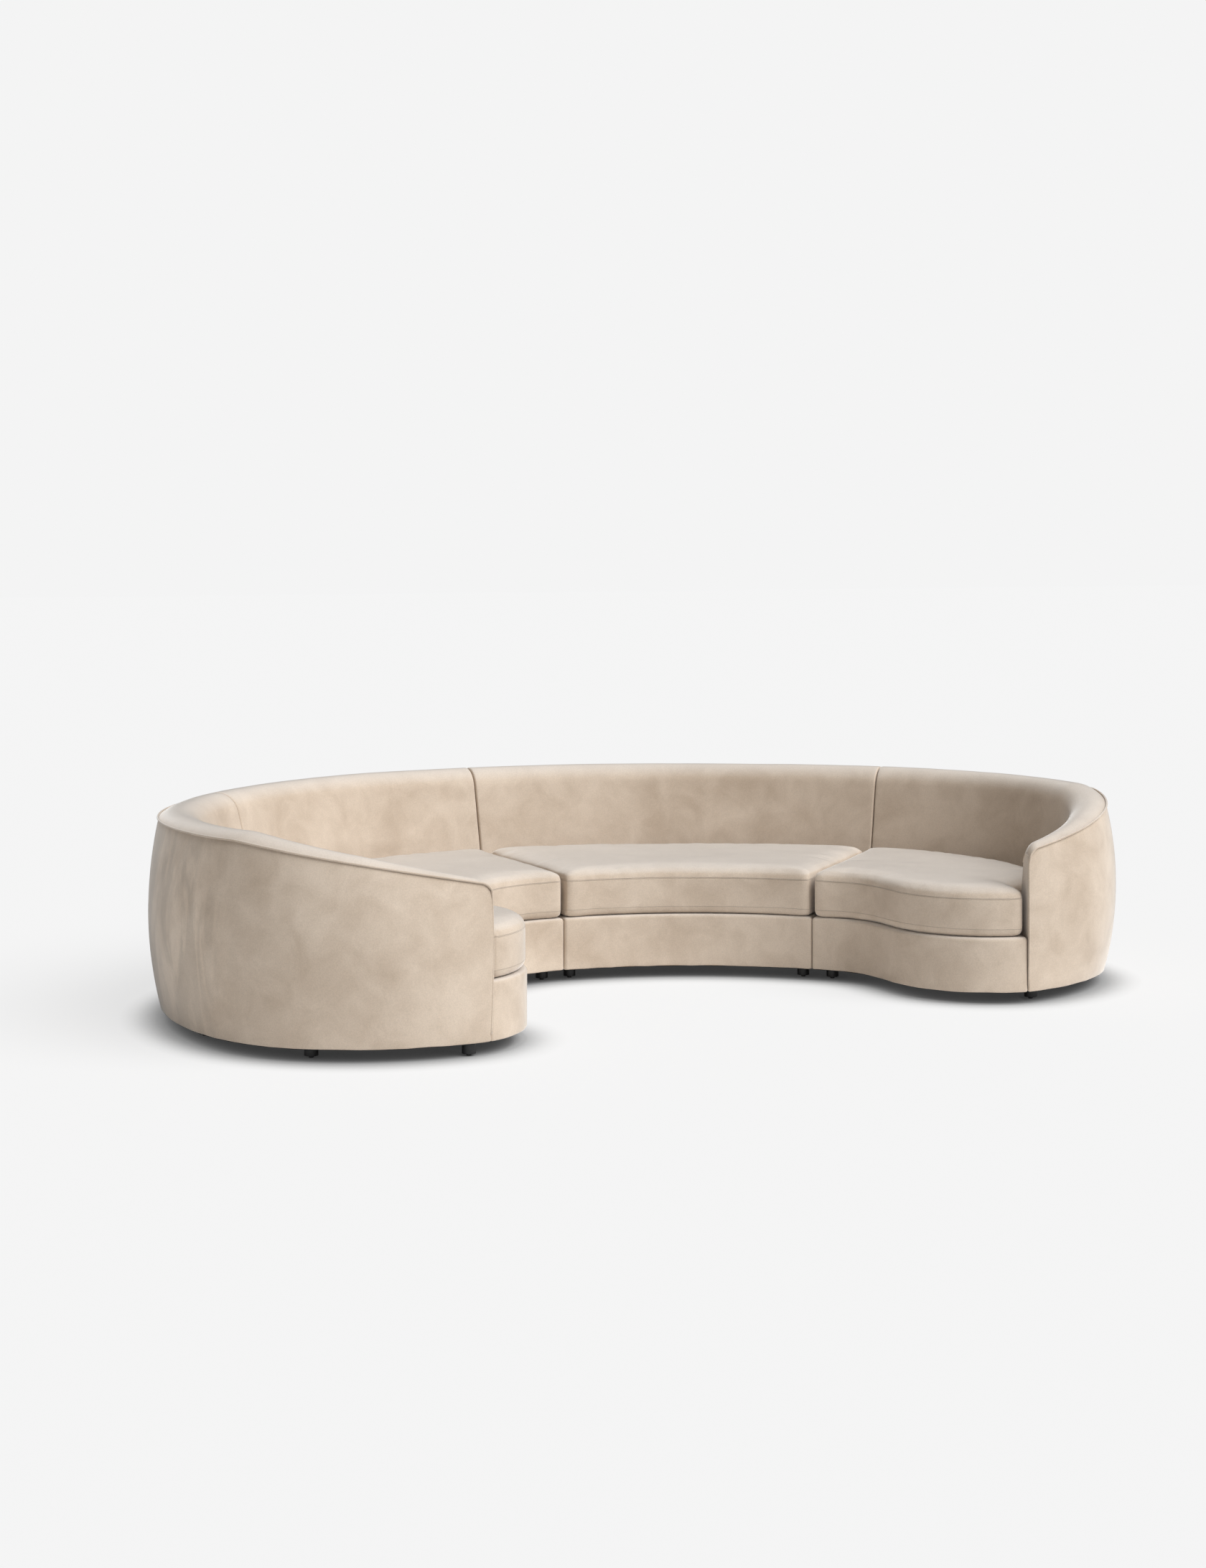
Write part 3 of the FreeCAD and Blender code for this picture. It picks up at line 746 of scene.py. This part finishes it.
def swell(piece, cap):
    """Cloth simulation that puffs the cushion's cover, with each point's move capped."""
    scene = bpy.context.scene
    before = np.empty(len(piece.data.vertices) * 3)
    piece.data.vertices.foreach_get("co", before)
    before = before.reshape(-1, 3)
    cloth = piece.modifiers.new("swell", "CLOTH")
    fabric = cloth.settings
    fabric.quality = 5
    fabric.mass = 0.3
    fabric.tension_stiffness = 18
    fabric.compression_stiffness = 18
    fabric.shear_stiffness = 8
    fabric.bending_stiffness = 2.5
    fabric.use_pressure = True
    fabric.uniform_pressure_force = cushion_pressure
    fabric.effector_weights.gravity = 0
    cloth.collision_settings.use_collision = False
    cloth.collision_settings.use_self_collision = False
    cloth.point_cache.frame_start = 1
    cloth.point_cache.frame_end = sim_frames
    for step in range(1, sim_frames + 1):
        scene.frame_set(step)
    shown = piece.evaluated_get(bpy.context.evaluated_depsgraph_get())
    after = np.empty(len(shown.data.vertices) * 3)
    shown.data.vertices.foreach_get("co", after)
    after = after.reshape(-1, 3)
    piece.modifiers.remove(cloth)
    scene.frame_set(1)
    push = after - before
    far = np.linalg.norm(push, axis=1)
    push *= (cap * np.tanh(far / cap) / np.maximum(far, 1e-9))[:, None]
    piece.data.vertices.foreach_set("co", (before + push).ravel())
    piece.data.update()


def remesh(piece, voxel):
    modifier = piece.modifiers.new("remesh", "REMESH")
    modifier.mode = "VOXEL"
    modifier.voxel_size = voxel
    modifier.use_smooth_shade = True
    apply_modifiers(piece)


def apply_modifiers(piece):
    shown = piece.evaluated_get(bpy.context.evaluated_depsgraph_get())
    mesh = bpy.data.meshes.new_from_object(shown)
    old = piece.data
    piece.modifiers.clear()
    piece.data = mesh
    bpy.data.meshes.remove(old)


def make_cushion(module, material):
    name = module.name + "_seat_cushion"
    piece = cushion_shape(module, name, cushion_start_inset, material)
    remesh(piece, cushion_voxel)
    swell(piece, cushion_swell_cap)
    press_sides(module, piece)
    settle_cushion(module, piece)
    subdivide = piece.modifiers.new("smooth", "SUBSURF")
    subdivide.levels = 1
    subdivide.render_levels = 1
    apply_modifiers(piece)
    for polygon in piece.data.polygons:
        polygon.use_smooth = True
    dress(piece, module.name + "_cushion", "velvet",
          module.name + "_cushion_cover", module.name + "_cushion_core")
    return piece


def press_sides(module, piece):
    """Flattens the sides that meet the neighbouring cushions, just clear of the seam planes."""
    clear = half_seam + cushion_side_gap / 2
    planes = [(Vector((0, 0, 0)), Vector((-1, 0, 0)))]
    if not module.armed:
        radius, turn = module.front[0]
        angle = math.radians(turn)
        planes.append((Vector((0, -radius, 0)), Vector((math.cos(angle), math.sin(angle), 0))))
    for place, outward in planes:
        origin = module.world(*place)
        normal = module.world(*(place + outward)) - origin
        for vert in piece.data.vertices:
            inside = max(0.0, -(vert.co - origin).dot(normal) - clear)
            share = max(0.0, 1 - max(0.0, inside - pressed_edge) / (2 * pressed_edge))
            flat = (1 - pressed_share) * min(inside, pressed_edge) * share
            vert.co -= normal * ((vert.co - origin).dot(normal) + clear + inside - flat)


def settle_cushion(module, piece):
    """Keeps the underside on the deck, and makes the top slightly uneven up to its crown."""
    floor = base_top + cushion_lift
    top = floor + cushion_thickness
    for vert in piece.data.vertices:
        height = (vert.co.z - floor) / cushion_thickness
        if height > 0.5:
            broad = noise.noise(vert.co * cushion_broad_wave[0]) * cushion_broad_wave[1]
            narrow = noise.noise(vert.co * cushion_narrow_wave[0]) * cushion_narrow_wave[1]
            vert.co.z += (broad + narrow) * cushion_waviness * (height - 0.5) * 2
        vert.co.z = max(vert.co.z, floor)
        if vert.co.z > top + cushion_crown:
            vert.co.z = top + cushion_crown


def make_cushion_seams(module, material):
    """Two rows of sewn seam below the top edge and one above the bottom edge, as cords in a darker velvet
    that paints shade along the seams.
    """
    loop = seat_loop(module, -cushion_overhang, cushion_side_gap, cushion_rear_gap, cushion_plan_radius)
    cushion = bpy.data.objects[module.name + "_seat_cushion"]
    floor = base_top + cushion_lift
    heights = (
        ("seam_upper", floor + cushion_thickness - cushion_seam_drop),
        ("seam_lower", floor + cushion_thickness - cushion_seam_drop - stitch_spacing),
        ("seam_bottom", floor + cushion_seam_drop * bottom_seam_share),
    )
    for label, height in heights:
        points = []
        for u, v in loop:
            _, place, normal, _ = cushion.closest_point_on_mesh(module.world(u, v, height))
            points.append(place - normal * stitch_radius * stitch_sink)
        cord = tube(module.name + "_" + label, points, stitch_radius, material, closed=True, sides=6)
        dress(cord, module.name + "_cushion", "velvet_welt")


class Nodes:
    """Short way to build a material's node tree."""

    def __init__(self, name):
        self.material = bpy.data.materials.new(name)
        self.material.use_nodes = True
        self.tree = self.material.node_tree
        self.tree.nodes.clear()
        self.output = self.add("ShaderNodeOutputMaterial")
        self.shader = self.add("ShaderNodeBsdfPrincipled")
        self.tree.links.new(self.shader.outputs[0], self.output.inputs[0])
        self.coords = self.add("ShaderNodeTexCoord").outputs["Object"]

    def add(self, kind, **values):
        node = self.tree.nodes.new(kind)
        for key, value in values.items():
            setattr(node, key, value)
        return node

    def link(self, source, target):
        self.tree.links.new(source, target)

    def noise(self, scale, detail=3.0, roughness=0.55, distortion=0.0, stretch=None):
        node = self.add("ShaderNodeTexNoise")
        node.inputs["Scale"].default_value = scale
        node.inputs["Detail"].default_value = detail
        node.inputs["Roughness"].default_value = roughness
        node.inputs["Distortion"].default_value = distortion
        source = self.coords
        if stretch:
            mapping = self.add("ShaderNodeMapping")
            mapping.inputs["Scale"].default_value = stretch
            self.link(self.coords, mapping.inputs["Vector"])
            source = mapping.outputs[0]
        self.link(source, node.inputs["Vector"])
        return node.outputs["Fac"]

    def ramp(self, source, stops):
        node = self.add("ShaderNodeValToRGB")
        ramp = node.color_ramp
        while len(ramp.elements) < len(stops):
            ramp.elements.new(0.5)
        for element, (place, colour) in zip(ramp.elements, stops):
            element.position = place
            element.color = (*colour, 1.0)
        self.link(source, node.inputs["Fac"])
        return node.outputs["Color"]

    def mix(self, factor, first, second, blend="MIX"):
        node = self.add("ShaderNodeMix", data_type="RGBA", blend_type=blend)
        for value, socket in ((factor, node.inputs[0]), (first, node.inputs[6]), (second, node.inputs[7])):
            if hasattr(value, "node"):
                self.link(value, socket)
            elif isinstance(value, tuple):
                socket.default_value = (*value, 1.0)
            else:
                socket.default_value = value
        return node.outputs[2]

    def math(self, operation, first, second):
        node = self.add("ShaderNodeMath", operation=operation)
        for value, socket in ((first, node.inputs[0]), (second, node.inputs[1])):
            if hasattr(value, "node"):
                self.link(value, socket)
            else:
                socket.default_value = value
        return node.outputs[0]

    def fade(self, axis, start, stop):
        """Factor that grows from 0 to 1 as the place along an axis goes from start to stop."""
        split = self.add("ShaderNodeSeparateXYZ")
        self.link(self.coords, split.inputs[0])
        node = self.add("ShaderNodeMapRange")
        node.inputs["From Min"].default_value = start
        node.inputs["From Max"].default_value = stop
        self.link(split.outputs[axis], node.inputs["Value"])
        return node.outputs["Result"]

    def painted_top_sheen(self):
        """Factor that is high where the surface faces up, for a painted sheen that makes the tops paler and
        more neutral.
        """
        split = self.add("ShaderNodeSeparateXYZ")
        self.link(self.add("ShaderNodeNewGeometry").outputs["Normal"], split.inputs[0])
        node = self.add("ShaderNodeMapRange")
        node.inputs["From Min"].default_value = painted_sheen_from
        node.inputs["From Max"].default_value = 1.0
        node.inputs["To Max"].default_value = painted_sheen_share
        self.link(split.outputs["Z"], node.inputs["Value"])
        return node.outputs["Result"]

    def bump(self, source, strength, distance, normal=None):
        node = self.add("ShaderNodeBump")
        node.inputs["Strength"].default_value = strength
        node.inputs["Distance"].default_value = distance
        self.link(source, node.inputs["Height"])
        if normal:
            self.link(normal, node.inputs["Normal"])
        return node.outputs["Normal"]

    def set(self, **values):
        for key, value in values.items():
            socket = self.shader.inputs[key.replace("_", " ")]
            if hasattr(value, "node"):
                self.link(value, socket)
            else:
                socket.default_value = value
        return self.material


def velvet(name, light, dark, crushed_side=False):
    """Short-pile velvet: cloudy nap, fine grain, soft sheen, a painted sheen that makes upward faces paler
    and, on one side, a crushed pile.
    """
    m = Nodes(name)
    clouds = m.noise(cloud_scale, detail=3.0, roughness=0.5, distortion=0.4)
    patches = m.noise(patch_scale, detail=4.0, roughness=0.6, distortion=0.5)
    grain = m.noise(grain_scale, detail=2.0, roughness=0.7)
    fibres = m.noise(fibre_scale, detail=1.0)
    nap = m.math("ADD", m.math("MULTIPLY", clouds, 0.5), m.math("MULTIPLY", patches, 0.5))
    colour = m.ramp(nap, ((0.34, dark), (0.60, light)))
    if crushed_side:
        crush = m.noise(crush_scale, detail=5.0, roughness=0.6, distortion=1.6, stretch=(1.0, 1.0, 0.30))
        tones = m.ramp(crush, ((0.44, (0.94, 0.94, 0.94)), (0.58, (1.18, 1.18, 1.18))))
        colour = m.mix(m.fade("X", crushed_from, crushed_to), colour, m.mix(1.0, colour, tones, "MULTIPLY"))
    # Painted sheen: upward faces mix towards a paler, more neutral colour
    colour = m.mix(m.painted_top_sheen(), colour, painted_top_sheen_colour)
    speckle = m.ramp(grain, ((0.30, (0.90, 0.90, 0.90)), (0.70, (1.08, 1.08, 1.08))))
    colour = m.mix(0.8, colour, m.mix(1.0, colour, speckle, "MULTIPLY"))
    rough = m.math("ADD", m.math("MULTIPLY", patches, 0.12), 0.82)
    normal = m.bump(fibres, 0.25, 0.0006)
    normal = m.bump(grain, 0.22, 0.0012, normal)
    normal = m.bump(patches, 0.06, 0.006, normal)
    return m.set(Base_Color=colour, Roughness=rough, Normal=normal, Sheen_Weight=1.0,
                 Sheen_Roughness=0.33, Sheen_Tint=(1.0, 0.99, 0.97, 1.0), Specular_IOR_Level=0.10)


def plain(name, first, second, scale, roughness, metallic=0.0, bump=0.1, stretch=None):
    """Material with two close tones, mixed by noise."""
    m = Nodes(name)
    fine = m.noise(scale, detail=4.0, roughness=0.6, stretch=stretch)
    colour = m.ramp(fine, ((0.3, first), (0.7, second)))
    rough = m.math("ADD", m.math("MULTIPLY", fine, 0.2), roughness)
    return m.set(Base_Color=colour, Roughness=rough, Metallic=metallic,
                 Normal=m.bump(fine, bump, 0.0008))


materials = {
    "velvet": velvet("beige_velvet", velvet_light, velvet_dark),
    "velvet_crushed": velvet("beige_velvet_crushed", velvet_light, velvet_dark, True),
    "velvet_welt": velvet("beige_velvet_welt", velvet_light, velvet_dark),
    # The seam cords get a darker copy of the velvet as painted shade along the seams
    "seam_painted_shade": velvet("beige_seam_painted_shade", painted_shade_seam_light, painted_shade_seam_dark),
    "foam": plain("cushion_foam", (0.78, 0.74, 0.60), (0.85, 0.82, 0.70), 120.0, 0.8),
    "timber": plain("frame_timber", (0.42, 0.28, 0.16), (0.60, 0.44, 0.27), 14.0, 0.55, stretch=(1, 1, 6)),
    "spring_steel": plain("spring_wire", (0.22, 0.22, 0.23), (0.34, 0.34, 0.35), 60.0, 0.3, 1.0),
    "black_lining": plain("lining", (0.012, 0.012, 0.012), (0.03, 0.03, 0.03), 400.0, 0.8),
    "black_foot": plain("foot_black", (0.006, 0.006, 0.006), (0.014, 0.014, 0.014), 80.0, 0.32),
    "glide": plain("glide_black", (0.008, 0.008, 0.008), (0.016, 0.016, 0.016), 90.0, 0.38),
    "connector_steel": plain("connector_plate", (0.03, 0.03, 0.032), (0.06, 0.06, 0.062), 70.0, 0.35, 0.8),
}


def dress_cad_nodes():
    """Gives the carried-over nodes the material of their slot in the record."""
    for part in frame["record"]["subparts"]:
        node = frame["nodes"][part["node"]]
        node.data.materials.clear()
        node.data.materials.append(materials[part["material_slot"]])
        for polygon in node.data.polygons:
            polygon.use_smooth = False


def make_camera():
    data = bpy.data.cameras.new("camera")
    data.sensor_width = sensor
    data.lens = focal_pixels / image_height * sensor
    data.shift_y = -horizon_above_middle / image_height
    data.clip_end = farthest_view
    camera = bpy.data.objects.new("camera", data)
    camera.location = camera_place
    camera.rotation_euler = (math.radians(90), 0, -math.radians(camera_heading))
    bpy.context.scene.collection.objects.link(camera)
    bpy.context.scene.camera = camera


def make_floor():
    """Pale paper that keeps a faint real shadow of the sofa; for the camera it glows in the background's
    tone, with a painted shadow that darkens it by ambient occlusion near the sofa.
    """
    corners = [(x * floor_reach, y * floor_reach, 0) for x, y in ((-1, -1), (1, -1), (1, 1), (-1, 1))]
    m = Nodes("floor_paper")
    m.set(Base_Color=(0.88, 0.88, 0.88, 1), Roughness=0.95, Specular_IOR_Level=0.0)
    near = m.add("ShaderNodeAmbientOcclusion", samples=16)
    near.inputs["Distance"].default_value = painted_shadow_reach
    glow = m.add("ShaderNodeEmission")
    # Painted shadow: the glow darkens towards black where the ambient occlusion finds the sofa near
    shade = m.ramp(near.outputs["AO"], (
        (0.0, (0.004,) * 3), (0.5, (0.30,) * 3), (0.85, (0.80,) * 3), (1.0, (background,) * 3)))
    m.link(shade, glow.inputs["Color"])
    seen = m.add("ShaderNodeMixShader")
    paper = m.add("ShaderNodeMixShader")
    path = m.add("ShaderNodeLightPath")
    paper.inputs[0].default_value = floor_glow
    m.link(m.shader.outputs[0], paper.inputs[1])
    m.link(glow.outputs[0], paper.inputs[2])
    m.link(m.math("MAXIMUM", path.outputs["Is Camera Ray"], path.outputs["Is Glossy Ray"]), seen.inputs[0])
    m.link(m.shader.outputs[0], seen.inputs[1])
    m.link(paper.outputs[0], seen.inputs[2])
    m.link(seen.outputs[0], m.output.inputs[0])
    floor = new_object("floor", corners, [(0, 1, 2, 3)], m.material)


def make_light():
    world = bpy.data.worlds.new("studio")
    bpy.context.scene.world = world
    world.use_nodes = True
    tree = world.node_tree
    tree.nodes.clear()
    output = tree.nodes.new("ShaderNodeOutputWorld")
    mix = tree.nodes.new("ShaderNodeMixShader")
    fill = tree.nodes.new("ShaderNodeBackground")
    fill.inputs["Color"].default_value = (1.0, 1.0, 1.0, 1)
    fill.inputs["Strength"].default_value = fill_strength
    seen = tree.nodes.new("ShaderNodeBackground")
    seen.inputs["Color"].default_value = (background, background, background, 1)
    path = tree.nodes.new("ShaderNodeLightPath")
    either = tree.nodes.new("ShaderNodeMath")
    either.operation = "MAXIMUM"
    tree.links.new(path.outputs["Is Camera Ray"], either.inputs[0])
    tree.links.new(path.outputs["Is Glossy Ray"], either.inputs[1])
    tree.links.new(either.outputs[0], mix.inputs[0])
    tree.links.new(fill.outputs[0], mix.inputs[1])
    tree.links.new(seen.outputs[0], mix.inputs[2])
    tree.links.new(mix.outputs[0], output.inputs[0])
    data = bpy.data.lights.new("key", "SUN")
    data.energy = key_strength
    data.angle = math.radians(key_spread)
    key = bpy.data.objects.new("key", data)
    heading = math.radians(camera_heading)
    ahead = Vector((math.sin(heading), math.cos(heading), 0))
    right = Vector((math.cos(heading), -math.sin(heading), 0))
    to_light = right * key_right - ahead * key_front + Vector((0, 0, 1))
    key.rotation_euler = to_light.to_track_quat("Z", "Y").to_euler()
    bpy.context.scene.collection.objects.link(key)


def set_view():
    bpy.context.scene.view_settings.view_transform = "Standard"


make_camera()
set_view()
make_light()
make_floor()
dress_cad_nodes()
for module in make_modules():
    make_back(module, materials["velvet_crushed" if module.name == "left_end" else "velvet"])
    make_welt(module, materials["velvet_welt"])
    if module.armed:
        make_arch_welt(module, materials["velvet_welt"])
    make_base(module, materials["velvet"])
    make_cushion(module, materials["velvet"])
    make_cushion_seams(module, materials["seam_painted_shade"])
